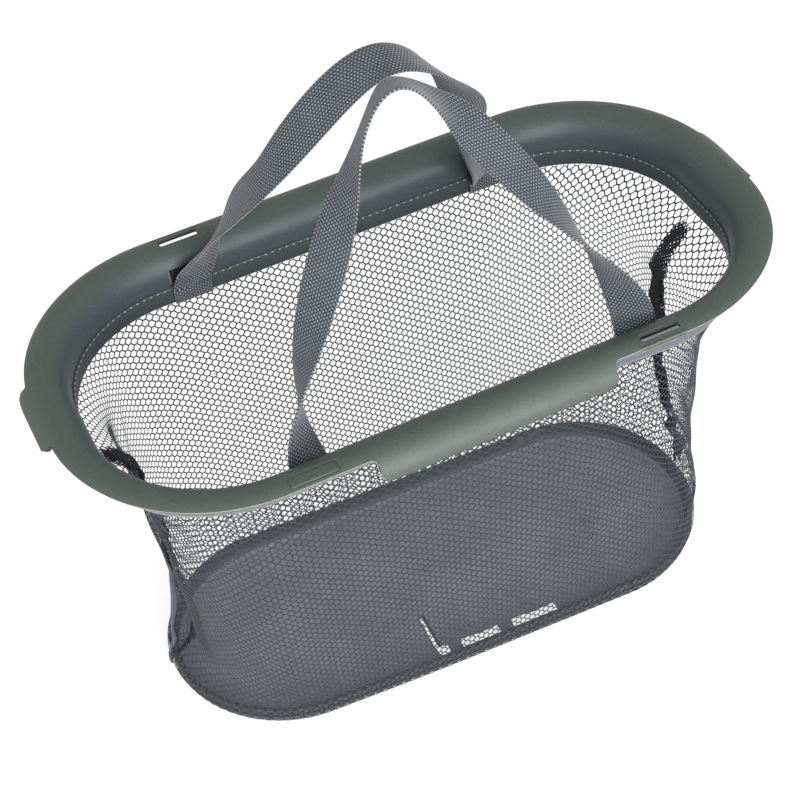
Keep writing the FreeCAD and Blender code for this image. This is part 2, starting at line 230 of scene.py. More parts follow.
def newMaterial(name, colour, roughness, ior=1.5):
    material = bpy.data.materials.new(name)
    material.use_nodes = True
    tree = material.node_tree
    shader = tree.nodes["Principled BSDF"]
    setInputs(tree, shader, {"Base Color": colour, "Roughness": roughness, "IOR": ior})
    material.diffuse_color = hexColour(colour)
    return material, tree, shader


def surfacePlace(tree):
    # place along (0) and across (1) the surface in metres, from the piece's own uv
    return addNode(tree, "SeparateXYZ", addNode(tree, "UVMap", uv_map="surface")).outputs


def layOver(tree, base, colour, value, low, high, least=0.0, most=1.0):
    # a colour over a base, from least to most of it as the value passes from low to high
    share = addNode(tree, "MapRange", value, low, high, least, most,
                    interpolation_type="SMOOTHSTEP")
    return addNode(tree, "Mix", {0: share, 6: base, 7: colour}, data_type="RGBA")


# EVA foam, compression moulded: a satin skin, slate inside, greener and lighter on the lip, which
# is partly its tone and partly painted light where it faces the lamps, and paler towards the flap's
# edge as a painted highlight, with olive flecks in the colour and pores that break the highlight.
# The flecks (1.3 and 1.7 mm) and the pores (0.9 mm) are drawn as coarse as they need to show
def mouldedEva(name, slate="#313b3f", greenWithPaintedLight="#3d4842", paintedHighlight="#484f4b"):
    material, tree, shader = newMaterial(name, slate, 0.42)
    point = addNode(tree, "TexCoord").outputs["Object"]
    fleck, dark, cloud, pore = [
        addNode(tree, "TexNoise", {"Vector": point, "Scale": 1 / (size * mm), "Detail": detail})
        for size, detail in ((1.3, 1.0), (1.7, 1.0), (30.0, 3.0), (0.9, 2.0))]
    across = surfacePlace(tree)[1]
    # painted light: lighter on the lip, and a painted highlight towards the flap's edge
    base = layOver(tree, slate, greenWithPaintedLight, across, 20 * mm, 44 * mm)
    base = layOver(tree, base, paintedHighlight, across, 43 * mm, 56 * mm)
    base = layOver(tree, base, "#565f45", fleck, 0.60, 0.74, 0.0, 0.35)
    base = layOver(tree, base, "#262d2b", dark, 0.26, 0.40, 0.3, 0.0)
    cloudy = addNode(tree, "MapRange", cloud, 0.3, 0.7, 0.42, 0.50,
                     interpolation_type="SMOOTHSTEP")
    pores = addNode(tree, "Bump", {"Height": pore, "Distance": 0.05 * mm, "Strength": 0.6})
    setInputs(tree, shader, {"Base Color": base, "Roughness": cloudy,
                             "Specular IOR Level": 0.36, "Normal": pores})
    return material


rimFoam = mouldedEva("mouldedEvaFoam")
trayFoam = mouldedEva("mouldedEvaTray", *["#44474b"] * 3)
badgeFoam = mouldedEva("mouldedEvaBlank", *["#3d4540"] * 3)
bandFoam = mouldedEva("mouldedEvaBand", *["#2e3639"] * 3)

# cut edge of the foam: on the lip paler than the skin, matt and a little yellow; off the lip's
# middle stretch, inside the punched windows and slots and at the ends, it is painted dark as shade
cutEdge, tree, shader = newMaterial("cutEvaEdge", "#8d957f", 0.7)
point = addNode(tree, "TexCoord").outputs["Object"]
mottle = addNode(tree, "TexNoise", {"Vector": point, "Scale": 1 / (1.0 * mm), "Detail": 3.0})
pale = layOver(tree, "#98a08a", "#767f6c", mottle, 0.35, 0.65, 0.0, 0.5)
onLip = addNode(tree, "MapRange", surfacePlace(tree)[1], 50.2 * mm, 50.8 * mm,
                interpolation_type="SMOOTHSTEP")
endwise = addNode(tree, "Math", addNode(tree, "SeparateXYZ", point).outputs[0],
                  operation="ABSOLUTE")
inward = addNode(tree, "MapRange", endwise, 190 * mm, 215 * mm, 1.0, 0.0,
                 interpolation_type="SMOOTHSTEP")
onLip = addNode(tree, "Math", onLip, inward, operation="MULTIPLY")
# painted shade: dark wherever the cut edge is not on the lip's middle stretch
setInputs(tree, shader, {"Base Color": addNode(tree, "Mix", {0: onLip, 6: "#2b3130", 7: pale},
                                               data_type="RGBA")})

# needle felt laminated to the foam: purple grey, matt, short fibres lying every way. They are
# far finer than the 1.6 mm drawn here, which is as coarse as they need to show
feltBacking, tree, shader = newMaterial("laminatedFelt", "#5f616b", 0.85)
point = addNode(tree, "TexCoord").outputs["Object"]
flattened = addNode(tree, "Mapping", {"Vector": point, "Scale": (1.0, 1.0, 3.0)})
fibres = addNode(tree, "TexNoise", {"Vector": flattened, "Scale": 1 / (1.6 * mm), "Detail": 4.0})
setInputs(tree, shader, {
    "Base Color": layOver(tree, "#4c4e55", "#64666c", fibres, 0.35, 0.65),
    "Normal": addNode(tree, "Bump", {"Height": fibres, "Distance": 0.12 * mm, "Strength": 0.7}),
    "Sheen Weight": 0.25})

# smooth laminate on the tray's floor: the same purple grey, tighter fibres, again drawn coarse
# enough to show, and faint rub marks. From 4 mm up, on the tray's low wall, it is painted dark as
# shade
floorFelt, tree, shader = newMaterial("laminatedTrayFloor", "#7b7c86", 0.62)
point = addNode(tree, "TexCoord").outputs["Object"]
cloud, grain, nap = [
    addNode(tree, "TexNoise", {"Vector": point, "Scale": 1 / (size * mm), "Detail": detail})
    for size, detail in ((45.0, 4.0), (1.5, 3.0), (1.2, 3.0))]
base = layOver(tree, "#74767f", "#84868e", cloud, 0.3, 0.7)
base = layOver(tree, base, "#6d6e79", grain, 0.35, 0.65, 0.0, 0.5)
# painted shade on the tray's low wall, from about 4 mm up
base = layOver(tree, base, "#3c4144", surfacePlace(tree)[1], 3.2 * mm, 4.5 * mm)
setInputs(tree, shader, {
    "Base Color": base,
    "Normal": addNode(tree, "Bump", {"Height": nap, "Distance": 0.08 * mm, "Strength": 0.5})})


# polyester webbing, plain woven: pale floats on dark slate, 1.7 mm apart across and 2.3 mm along,
# shifted by half from column to column and slanted to and fro, which reads as small chevrons
def wovenWebbing(name, dark, pale, columnMm=1.7, rowMm=2.3, sheen=0.3, shine=0.5):
    material, tree, shader = newMaterial(name, dark, 0.72)
    place = surfacePlace(tree)
    column = addNode(tree, "Math", place[1], columnMm * mm, operation="DIVIDE")
    whole = addNode(tree, "Math", column, operation="FLOOR")
    odd = addNode(tree, "Math", whole, 2.0, operation="MODULO")
    u = addNode(tree, "Math", column, operation="FRACT")
    u = addNode(tree, "Math", u, 0.5, operation="SUBTRACT")
    row = addNode(tree, "Math", place[0], rowMm * mm, operation="DIVIDE")
    half = addNode(tree, "Math", odd, 0.5, operation="MULTIPLY")
    row = addNode(tree, "Math", row, half, operation="ADD")
    double = addNode(tree, "Math", odd, 2.0, operation="MULTIPLY")
    way = addNode(tree, "Math", 1.0, double, operation="SUBTRACT")
    slant = addNode(tree, "Math", u, way, operation="MULTIPLY")
    slant = addNode(tree, "Math", slant, 0.35, operation="MULTIPLY")
    row = addNode(tree, "Math", row, slant, operation="ADD")
    row = addNode(tree, "Math", row, operation="FRACT")
    v = addNode(tree, "Math", row, 0.5, operation="SUBTRACT")
    squares = []
    for part, scale in ((u, 1.05), (v, 1.25)):
        scaled = addNode(tree, "Math", part, scale, operation="MULTIPLY")
        squares.append(addNode(tree, "Math", scaled, 2.0, operation="POWER"))
    far = addNode(tree, "Math", addNode(tree, "Math", *squares, operation="ADD"),
                  operation="SQRT")
    raised = addNode(tree, "MapRange", far, 0.16, 0.46, 1.0, 0.0,
                     interpolation_type="SMOOTHSTEP")
    point = addNode(tree, "TexCoord").outputs["Object"]
    wear = addNode(tree, "TexNoise", {"Vector": point, "Scale": 1 / (9.0 * mm), "Detail": 3.0})
    worn = addNode(tree, "MapRange", wear, 0.3, 0.7, 0.7, 1.0, interpolation_type="SMOOTHSTEP")
    share = addNode(tree, "Math", raised, worn, operation="MULTIPLY")
    setInputs(tree, shader, {
        "Base Color": addNode(tree, "Mix", {0: share, 6: dark, 7: pale}, data_type="RGBA"),
        "Normal": addNode(tree, "Bump", {"Height": raised, "Distance": 0.32 * mm,
                                         "Strength": 0.8}),
        "Sheen Weight": sheen, "Sheen Roughness": 0.4, "Specular IOR Level": shine})
    return material


webbing = wovenWebbing("wovenPolyesterWebbing", "#282e37", "#7f8585")

# the same webbing painted dark as shade, where it is folded behind the windows
paintedShadeWebbing = wovenWebbing("paintedShadePolyesterWebbing", "#15181c", "#1f2327", columnMm=1.9,
                             rowMm=2.6, sheen=0.15, shine=0.4)

# the webbing deep behind the lip slot, painted almost black as shade
slotShadeWebbing = wovenWebbing("paintedShadeSlotWebbing", "#07080a", "#101214", sheen=0.0,
                             shine=0.1)

# knotless polyester mesh: smooth filament yarn, dark slate, slight shine along the strands, and
# a change of tone every 0.8 mm for the twist
meshYarn, tree, shader = newMaterial("knotlessMeshYarn", "#262b31", 0.5)
point = addNode(tree, "TexCoord").outputs["Object"]
twist = addNode(tree, "TexNoise", {"Vector": point, "Scale": 1 / (0.8 * mm), "Detail": 1.0})
setInputs(tree, shader, {"Base Color": layOver(tree, "#20252b", "#31373f", twist, 0.35, 0.65)})

# knitted binding tape: black, matt, with knitted loops 1.6 mm across, painted lighter at their
# middles as a highlight where they catch the light
bindingTape, tree, shader = newMaterial("knittedBindingTape", "#1b1c20", 0.85)
point = addNode(tree, "TexCoord").outputs["Object"]
loops = addNode(tree, "TexVoronoi", {"Vector": point, "Scale": 1 / (1.6 * mm)})
setInputs(tree, shader, {
    "Base Color": layOver(tree, "#2a2c31", "#121317", loops, 0.1, 0.6),
    "Normal": addNode(tree, "Bump", {"Height": loops, "Distance": 0.5 * mm, "Strength": 0.8})})

# bonded sewing thread: pale where it rises to the needle hole, a painted highlight, slate between
seam = dict(pitch=4.8 * mm, thread=0.26 * mm, knot=0.55 * mm, belowTop=1.0 * mm)
seamThread, tree, shader = newMaterial("bondedThread", "#9a9d98", 0.5)
cycle = addNode(tree, "Math", surfacePlace(tree)[0], seam["pitch"], operation="DIVIDE")
cycle = addNode(tree, "Math", cycle, operation="FRACT")
offMiddle = addNode(tree, "Math", cycle, 0.5, operation="SUBTRACT")
offMiddle = addNode(tree, "Math", offMiddle, operation="ABSOLUTE")
# painted highlight at each stitch's swelling
setInputs(tree, shader, {"Base Color": layOver(
    tree, "#454b4d", "#7f857f", offMiddle, 0.12, 0.22, 1.0, 0.0)})

# polyester thread that closes the tray seam, dyed like the mesh: dark, with a dull shine
darkThread, tree, shader = newMaterial("dyedThread", "#2b3036", 0.55)
point = addNode(tree, "TexCoord").outputs["Object"]
cloud = addNode(tree, "TexNoise", {"Vector": point, "Scale": 1 / (1.0 * mm), "Detail": 3.0})
setInputs(tree, shader, {"Base Color": addNode(tree, "Mix", {0: cloud, 6: "#23272c",
                                                             7: "#3a4047"}, data_type="RGBA")})

# foam strip, skived smooth: mid grey and satin, a little cloudy
hemFoam, tree, shader = newMaterial("skivedFoamStrip", "#585c64", 0.5)
point = addNode(tree, "TexCoord").outputs["Object"]
cloud = addNode(tree, "TexNoise", {"Vector": point, "Scale": 1 / (8.0 * mm), "Detail": 3.0})
setInputs(tree, shader, {"Base Color": addNode(tree, "Mix", {0: cloud, 6: "#4f535b",
                                                             7: "#63676f"}, data_type="RGBA")})

print("rim")

# rim section, from the wall's lower edge up and over the roll; the flap and the end tabs carry
# it further. Distances across the section are measured along the visible face.
flap = dict(reach=73.0 * mm, corner=7 * mm, fillet=4 * mm, endAngle=5.0)
tab = dict(reach=23.5 * mm, centre=6 * mm, corner=4.5 * mm, fillet=1.5 * mm, endAngle=34.0)
window = dict(width=strapWidth + 2 * mm, feltWidth=strapWidth - 2 * mm, low=12 * mm,
              high=24 * mm, corner=1.2 * mm)
lipSlot = dict(length=25 * mm, width=6.4 * mm, corner=1.4 * mm, angle=87.0, margin=3 * mm,
               frontX=strapX + 4.5 * mm, backX=1.5 * mm - strapX)
badge = dict(x=-107 * mm, length=30 * mm, startAngle=66.0, endAngle=98.0, corner=1.5 * mm)
recessDepth = 0.7 * mm
straight = rollCentre - wallBottom


# the front wall has leant inwards along its left half, most at its lower edge; everything fixed to
# it leans as well. It starts at leftX and frontY and has ended at rightX
lean = dict(depth=6 * mm, leftX=(-212 * mm, -150 * mm), rightX=(20 * mm, 150 * mm),
            frontY=(20 * mm, 80 * mm), most=1.1)


def leanIn(points, share=None):
    x, y, z = points[..., 0], points[..., 1], points[..., 2]
    if share is None:
        share = np.clip((rollCentre - z) / straight, 0, lean["most"])
    there = smooth(x, *lean["leftX"]) * (1 - smooth(x, *lean["rightX"]))
    there = there * smooth(-y, *lean["frontY"])
    return np.stack([x, y + lean["depth"] * there * share, z], -1)


def acrossAt(degrees):
    # how far across the section the roll has turned to an angle: 180 is its inner side, 90 its top
    return straight + roll["radius"] * (math.pi - math.radians(degrees))


lipEdge = acrossAt(60.0)


def stepOut(distance, height, corner, fillet):
    # edge height of a tab at a distance inside its end: fillet, upright end, rounded corner
    inside = np.clip(corner - distance, 0, corner)
    rounded = height - corner + np.sqrt(np.maximum(corner ** 2 - inside ** 2, 0))
    outside = np.clip(fillet + distance, 0, fillet)
    flared = fillet - np.sqrt(np.maximum(fillet ** 2 - outside ** 2, 0))
    return np.where(distance > 0, rounded, np.where(distance > -fillet, flared, 0.0))


# what stands beyond the lip, by the place of its middle; the right tab lies across the start of
# the lap and so counts at both ends of it
lipParts = [(3 * wallQuarter, flap), (tab["centre"], tab), (2 * wallQuarter - tab["centre"], tab),
            (4 * wallQuarter + tab["centre"], tab)]


def edgeAcross(along):
    # where the rim's section ends, for each distance round it
    edge = lipEdge
    for middle, part in lipParts:
        edge = edge + stepOut(part["reach"] - np.abs(along - middle),
                              acrossAt(part["endAngle"]) - lipEdge, part["corner"],
                              part["fillet"])
    return edge


def sectionPoint(across, depth):
    # offset outwards and height of a point on the section, depth below the visible face
    theta = math.pi - np.maximum(across - straight, 0) / roll["radius"]
    onRoll = across > straight
    radius = roll["radius"] - depth
    offset = np.where(onRoll, roll["radius"] + radius * np.cos(theta), depth)
    height = np.where(onRoll, rollCentre + radius * np.sin(theta), wallBottom + across)
    return offset, height


def rimPoints(along, across, depth):
    # points round the rim's wall and across its section, depth below the visible face
    offset, height = sectionPoint(across, depth)
    x, y, nx, ny = ringPoint(along, **wall)
    return leanIn(np.stack([x + offset * nx, y + offset * ny, height], -1))


def roundedHole(a, b, halfA, halfB, corner):
    # moves grid points near a hole so that its corners become arcs: square rings to round rings
    qa, qb = np.abs(a) - (halfA - corner), np.abs(b) - (halfB - corner)
    size = np.maximum(qa, qb)
    inZone = (qa > 0) & (qb > 0) & (size < 2.2 * corner)
    fade = np.clip((2.2 * corner - size) / (1.2 * corner), 0, 1)
    scale = 1 + fade * (size / np.maximum(np.hypot(qa, qb), 1e-9) - 1)
    scale = np.where(inZone, scale, 1.0)
    qaNew, qbNew = np.where(inZone, qa * scale, qa), np.where(inZone, qb * scale, qb)
    return (np.sign(a) * (qaNew + halfA - corner), np.sign(b) * (qbNew + halfB - corner))


def insideRounded(a, b, halfA, halfB, corner):
    # signed distance to a rounded rectangle, negative inside
    qa, qb = np.abs(a) - (halfA - corner), np.abs(b) - (halfB - corner)
    return (np.hypot(np.maximum(qa, 0), np.maximum(qb, 0))
            + np.minimum(np.maximum(qa, qb), 0) - corner)


slotAcross = acrossAt(lipSlot["angle"])
badgeMiddle = (acrossAt(badge["startAngle"]) + acrossAt(badge["endAngle"])) / 2
badgeHalf = (acrossAt(badge["startAngle"]) - acrossAt(badge["endAngle"])) / 2
windowPlaces = [alongAtX(x, side) for side in (-1, 1) for x in (-strapX, strapX)]
slotPlaces = [alongAtX(lipSlot["frontX"], -1), alongAtX(lipSlot["backX"], 1)]
badgePlace = alongAtX(badge["x"], -1)


# how close stations and rows stand, and how far the close ones reach from a detail's middle, from
# a slot's right end and from its left end
gridStep = dict(plain=2.5 * mm, window=0.8 * mm, slotEnd=0.4 * mm, badge=0.7 * mm,
                wall=2 * mm, roll=1 * mm, leastAlong=0.25 * mm, leastAcross=0.3 * mm)
gridReach = dict(window=(-22 * mm, 22.1 * mm), badge=(-17 * mm, 17.1 * mm),
                 slotRight=(-2.8 * mm, 2 * mm), slotLeft=(-1.6 * mm, 3 * mm))


def rimGrid():
    # stations round the rim and rows across it, closer together at every detail. What stands on a
    # hole's edge or in the corner of a tab is needed; the rest is thinned where it crowds
    near = 1e-6
    holeHalves = [window["width"] / 2, window["feltWidth"] / 2, lipSlot["length"] / 2]
    stations = [np.arange(0, 4 * wallQuarter, gridStep["plain"]),
                badgePlace + np.arange(*gridReach["badge"], gridStep["badge"])]
    for place in windowPlaces:
        stations.append(place + np.arange(*gridReach["window"], gridStep["window"]))
        stations += [place + np.array([-half, half]) for half in holeHalves[:2]]
    for place in slotPlaces:
        half = holeHalves[2]
        stations.append(place + np.array([-half, half]))
        stations.append(place + half + np.arange(*gridReach["slotRight"], gridStep["slotEnd"]))
        stations.append(place - half + np.arange(*gridReach["slotLeft"], gridStep["slotEnd"]))
    turns = np.linspace(0, math.pi / 2, 9)
    for middle, part in lipParts[:3]:
        edges = np.concatenate([
            part["corner"] * (1 - np.sin(turns)), [0.008 * mm, -0.008 * mm],
            -part["fillet"] * (1 - np.cos(turns[1:]))])
        stations += [middle + sign * (part["reach"] - edges) for sign in (-1, 1)]
    stations = np.unique(np.round(np.mod(np.concatenate(stations), 4 * wallQuarter), 7))
    needed = np.zeros(len(stations), bool)
    for place in windowPlaces + slotPlaces:
        for half in holeHalves:
            needed |= np.abs(np.abs(stations - place) - half) < near
    for middle, part in lipParts:
        distance = part["reach"] - np.abs(stations - middle)
        needed |= (distance > -part["fillet"] - near) & (distance < part["corner"] + near)
    crowded = np.append(False, np.diff(stations) < gridStep["leastAlong"]) & ~needed
    slotRows = slotAcross + lipSlot["width"] / 2 * np.array(
        [-1, -0.85, -0.6, -0.3, 0, 0.3, 0.6, 0.85, 1])
    windowRows = [window["low"], window["high"]]
    rows = np.concatenate([
        np.arange(0, straight, gridStep["wall"]),
        np.arange(straight, lipEdge - 1.2 * mm, gridStep["roll"]), slotRows, windowRows,
        [window["low"] + window["corner"], window["high"] - window["corner"]]])
    rows = np.unique(np.round(rows, 7))
    exact = np.array([*windowRows, slotRows[0], slotRows[-1]])
    onEdge = np.abs(rows[:, None] - exact).min(1) < near
    crowdedRows = np.append(False, np.diff(rows) < gridStep["leastAcross"]) & ~onEdge
    return stations[~crowded], rows[~crowdedRows]


def rimShell(name, depth, thickness, material, edgeMaterial, windowWidth, recessed=True):
    # grid of the section carried round the wall: the rows up to the lip are level, and 14 more
    # share what is left to the edge. The faces inside the holes are left out
    along, rows = rimGrid()
    stretch = np.linspace(0, 1, 15)[1:]
    across = np.concatenate([np.repeat(rows[None], len(along), 0),
                             rows[-1] + (edgeAcross(along) - rows[-1])[:, None] * stretch], 1)
    alongGrid = np.repeat(along[:, None], across.shape[1], 1)
    total = 4 * wallQuarter

    def local(place, middle):
        a = np.mod(alongGrid - place + total / 2, total) - total / 2
        return a, across - middle

    holes = [(place, (window["low"] + window["high"]) / 2, windowWidth / 2,
              (window["high"] - window["low"]) / 2, window["corner"]) for place in windowPlaces]
    holes += [(place, slotAcross, lipSlot["length"] / 2, lipSlot["width"] / 2,
               lipSlot["corner"]) for place in slotPlaces]
    midAlong = (alongGrid + np.roll(alongGrid, -1, 0)) / 2
    midAlong[-1] = (along[-1] + total) / 2
    midAlong = midAlong[:, :-1]
    midAcross = (across[:, :-1] + across[:, 1:]) / 2
    keep = np.ones(midAcross.shape, bool)
    sunk = np.zeros_like(across)
    for place, middle, halfA, halfB, corner in holes:
        keep &= ~((np.abs(midAlong - place) < halfA) & (np.abs(midAcross - middle) < halfB))
    if recessed:
        for place in slotPlaces:
            a, b = local(place, slotAcross)
            inside = insideRounded(a, b, lipSlot["length"] / 2 + lipSlot["margin"],
                                   lipSlot["width"] / 2 + lipSlot["margin"], 2 * mm)
            sunk += recessDepth * smooth(-inside, -0.3 * mm, 0.5 * mm)
        a, b = local(badgePlace, badgeMiddle)
        inside = insideRounded(a, b, badge["length"] / 2, badgeHalf, badge["corner"])
        sunk += recessDepth * smooth(-inside, -0.3 * mm, 0.4 * mm)
    for place, middle, halfA, halfB, corner in holes:
        a, b = local(place, middle)
        near = np.maximum(np.abs(a) - halfA, np.abs(b) - halfB) < 4 * mm
        newA, newB = roundedHole(a, b, halfA, halfB, corner)
        alongGrid = np.where(near, alongGrid + newA - a, alongGrid)
        across = np.where(near, across + newB - b, across)
    shell = gridPiece(name, rimPoints(alongGrid, across, depth + sunk), np.append(along, total),
                      np.concatenate([across, across[:1]]), closedRows=True, keep=keep,
                      flip=True, material=material)
    shell.data.materials.append(edgeMaterial)
    thicken(shell, thickness).material_offset_rim = 1
    return shell


rimPiece = rimShell("mouldedRim", 0.0, roll["foam"], rimFoam, cutEdge, window["width"])
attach(rimPiece, "rim")
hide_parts("rim")
feltPiece = rimShell("rimFelt", roll["foam"] + 0.02 * mm, roll["felt"], feltBacking, feltBacking,
                     window["feltWidth"], False)
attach(feltPiece, "rim")
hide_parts("rim_backing")


def sweptRing(name, outlinePoints, material):
    # closed section (offset, height) carried round the rim wall
    along = np.arange(0, 4 * wallQuarter, 3 * mm)
    x, y, nx, ny = ringPoint(along[:, None], **wall)
    offset, height = outlinePoints[:, 0], outlinePoints[:, 1]
    points = leanIn(np.stack([x + offset * nx, y + offset * ny, height + 0 * x], -1))
    steps = np.linalg.norm(np.diff(outlinePoints, axis=0, append=outlinePoints[:1]), axis=1)
    return gridPiece(name, points, np.append(along, 4 * wallQuarter),
                     np.append(0, np.cumsum(steps)), closedRows=True, closedColumns=True,
                     material=material)


def roundedSection(low, high, corner, steps=4):
    # rounded rectangle as (offset, height) points, anticlockwise from its lower right corner
    turns = np.linspace(0, math.pi / 2, steps)
    points = []
    for k, (cx, cy) in enumerate([(high[0], low[1]), (high[0], high[1]), (low[0], high[1]),
                                  (low[0], low[1])]):
        sx, sy = (-1 if k in (0, 1) else 1), (1 if k in (0, 3) else -1)
        a = turns + (k - 1) * math.pi / 2
        points.append(np.stack([cx + sx * corner + corner * np.cos(a),
                                cy + sy * corner + corner * np.sin(a)], -1))
    return np.concatenate(points)


bandPiece = sweptRing("retainingBand", roundedSection(
    (-0.6 * mm, wallBottom - 0.1 * mm), (-0.02 * mm, bandTop), 0.25 * mm), bandFoam)
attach(bandPiece, "rim")
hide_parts("mesh_retaining_band")


def rimPatch(name, along, across, depth, thickness, material):
    # thin patch below the rim's surface, over stations along and across it
    points = rimPoints(*np.meshgrid(along, across, indexing="ij"), depth)
    patch = gridPiece(name, points, along, across, flip=True, material=material)
    thicken(patch, thickness)
    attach(patch, "rim")
    return patch


print("badge blank")
inlay = dict(halfLength=badge["length"] / 2 - 0.5 * mm, halfWidth=badgeHalf - 0.5 * mm,
             corner=1.2 * mm, depth=0.2 * mm, thickness=0.3 * mm)
badgeAlong = badgePlace + np.linspace(-1, 1, 33) * inlay["halfLength"]
badgeAcross = badgeMiddle + np.linspace(-1, 1, 15) * inlay["halfWidth"]
a, b = np.meshgrid(badgeAlong, badgeAcross, indexing="ij")
inside = insideRounded(a - badgePlace, b - badgeMiddle, inlay["halfLength"],
                       inlay["halfWidth"], inlay["corner"])
badgePiece = rimPatch("blankBadge", badgeAlong, badgeAcross,
                      inlay["depth"] + recessDepth * smooth(inside, -0.9 * mm, 0),
                      inlay["thickness"], badgeFoam)
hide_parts("blank_badge")

print("rim seam")


def beadedThread(name, along, centre, side, radius, material, sides=6):
    # thin tube whose radius swells once for each stitch
    turns = np.arange(sides) * 2 * math.pi / sides
    direction = unit(np.gradient(centre, axis=0))
    other = np.cross(direction, side)
    around = (np.cos(turns)[None, :, None] * side[:, None]
              + np.sin(turns)[None, :, None] * other[:, None])
    return gridPiece(name, centre[:, None] + radius[:, None, None] * around, along,
                     np.append(turns, 2 * math.pi), closedColumns=True, caps=True,
                     material=material)


# the seam stops at the windows: four stretches of thread, from window to window
gaps = sorted(np.mod(windowPlaces, 4 * wallQuarter))
for k, place in enumerate(gaps):
    following = gaps[(k + 1) % 4] + (4 * wallQuarter if k == 3 else 0)
    start, end = place + window["width"] / 2, following - window["width"] / 2
    step = seam["pitch"] / 12
    along = np.arange(math.ceil(start / step), int(end / step)) * seam["pitch"] / 12
    x, y, nx, ny = ringPoint(along, **wall)
    swell = 0.5 - 0.5 * np.cos(2 * math.pi * along / seam["pitch"])
    radius = seam["thread"] + (seam["knot"] - seam["thread"]) * swell ** 4
    out = -0.6 * mm - 0.5 * radius
    centre = np.stack([x + out * nx, y + out * ny,
                       np.full_like(x, bandTop - seam["belowTop"])], -1)
    side = np.stack([nx, ny, 0 * nx], -1)
    piece = beadedThread("seamThread" + str(k), along, leanIn(centre), side, radius, seamThread)
    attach(piece, "rim")
    if k == 0:
        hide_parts("rim_seam_thread")

print("handles")
# each handle is one length of webbing: through the window, round the wall strip, up over the
# crease, across in a twisting arch and down the same way. Stations of the arch: share of the half
# span, share inwards from the crease, share of the arch's height, twist in degrees.
handles = dict(
    front=dict(side=-1, body="front_handle", height=167 * mm, route=[
        (-1.0, 0.0, 0.0, 0), (-0.917, 0.262, 0.224, 70), (-0.57, 0.537, 0.574, 121),
        (-0.26, 0.772, 0.838, 72), (0.028, 0.891, 1.002, 70), (0.309, 0.834, 0.864, 115),
        (0.563, 0.641, 0.648, 152), (0.936, 0.157, 0.255, 60), (1.0, 0.0, 0.0, 0)]),
    back=dict(side=1, body="back_handle", height=167 * mm, route=[
        (-1.0, 0.0, 0.0, 0), (-0.757, 0.192, 0.315, 68), (-0.588, 0.498, 0.557, 91),
        (-0.249, 0.61, 0.786, 124), (0.148, 0.673, 0.928, 106), (0.501, 0.599, 0.778, 79),
        (0.717, 0.442, 0.517, 18), (0.826, 0.259, 0.219, -44), (1.0, 0.0, 0.0, 0)]),
    width=24.6 * mm, thickness=1.5 * mm, corner=0.5 * mm, archSteps=400, tuckSteps=90, joined=4)
creaseOut, creaseHeight = -1.6 * mm, bandTop + 0.4 * mm
bandFace = bandTop - wallBottom
# the end of the webbing, from its tuck under the wall up to the crease: (offset, height)
loopRoute = np.array([(2.2, -0.8), (1.2, -0.9), (0.2, -0.9), (-0.8, -0.7), (-1.5, 0.3),
                      (-1.6, 3), (-1.6, bandFace / mm - 3)]) * mm


def webbingRibbon(name, settings):
    # a spline through the stations gives the middle line, another the twist, and the section is
    # carried along them
    side = settings["side"]
    route = np.array(settings["route"], float)
    creaseY = wall["halfWidth"] + creaseOut
    stations = np.stack([route[:, 0] * strapX, side * creaseY * (1 - route[:, 1]),
                         creaseHeight + route[:, 2] * settings["height"]], -1)
    at = np.linspace(0, 1, handles["archSteps"])
    centre = splineThrough(stations, at)
    angle = np.radians(splineThrough(route[:, 3:4], at))
    tangent = unit(np.gradient(centre, axis=0))
    upright = unit(np.array([0, 1.0, 0]) - tangent * tangent[:, 1:2])
    wide = np.cos(angle) * np.cross(upright, tangent) + np.sin(angle) * upright
    # the tucks at both ends replace the arch's first and last few stations
    steps, joined = handles["tuckSteps"], handles["joined"]
    tuck = splineThrough(loopRoute, np.linspace(0, 1, steps))
    loop = np.stack([np.full(steps, -strapX), side * (wall["halfWidth"] + tuck[:, 0]),
                     wallBottom + tuck[:, 1]], -1)
    loopWide = np.repeat([[np.sign(wide[0, 0]), 0, 0]], steps, 0)
    centre = np.concatenate([loop, centre[joined:-joined], loop[::-1] * np.array([-1, 1, 1])])
    wide = np.concatenate([loopWide, wide[joined:-joined], -loopWide])
    tangent = unit(np.gradient(centre, axis=0))
    wide = unit(wide - tangent * (wide * tangent).sum(-1, keepdims=True))
    thick = np.cross(tangent, wide)
    # its section: a flat rounded rectangle with seven more points along the top and the bottom
    halfWide, halfThick = handles["width"] / 2, handles["thickness"] / 2
    section = roundedSection((-halfWide, -halfThick), (halfWide, halfThick),
                             handles["corner"], 3)
    inner = np.linspace(-1, 1, 9)[1:-1] * (halfWide - handles["corner"])
    top = np.stack([inner[::-1], np.full(7, halfThick)], -1)
    bottom = np.stack([inner, np.full(7, -halfThick)], -1)
    section = np.concatenate([section[0:6], top, section[6:12], bottom])
    points = leanIn(centre[:, None] + section[None, :, :1] * wide[:, None]
                    + section[None, :, 1:] * thick[:, None])
    along = np.append(0, np.cumsum(np.linalg.norm(np.diff(centre, axis=0), axis=1)))
    across = np.append(section[:, 0], section[0, 0]) + 20 * mm
    ribbon = gridPiece(name, points, along, across, closedColumns=True, caps=True, flip=True,
                       material=webbing)
    print(" ", name, "length", round(float(along[-1]), 3))
    return ribbon


for which in ("front", "back"):
    piece = webbingRibbon(which + "HandleWebbing", handles[which])
    y = handles[which]["side"] * 80 * mm
    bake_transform(piece)
    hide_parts(which + "_handle_strap", which + "_left_strap_end",
                which + "_right_strap_end")

print("window backing")
